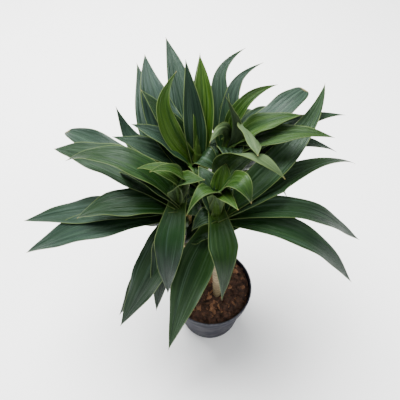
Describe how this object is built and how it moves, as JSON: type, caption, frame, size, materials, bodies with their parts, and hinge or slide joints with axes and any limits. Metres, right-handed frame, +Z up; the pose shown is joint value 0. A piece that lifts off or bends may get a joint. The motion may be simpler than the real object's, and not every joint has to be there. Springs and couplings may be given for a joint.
{
  "type": "potted plant",
  "caption": "Bushy potted dracaena: leafy heads of arching, pointed leaves on slim canes, in a tapered round nursery pot of bark compost.",
  "frame": {"origin": "centre of the pot's flat underside", "axes": "+Z up along the pot's axis, +X to the right seen from the front, -Y towards the front"},
  "size_m": [0.4718, 0.3901, 0.4377],
  "materials": {
    "pot": "satin moulded plastic, dark blue-grey",
    "soil": "damp bark compost, matt",
    "cane": "dry bark, matt",
    "leaf": "waxy leaf, half gloss"
  },
  "bodies": {
    "root": {"pot": "pot", "soil": "soil", "cane_a": "cane", "cane_b": "cane", "cane_c": "cane", "cane_d": "cane", "head_a": "leaf", "head_b": "leaf", "head_c": "leaf", "head_d": "leaf"}
  },
  "joints": []
}
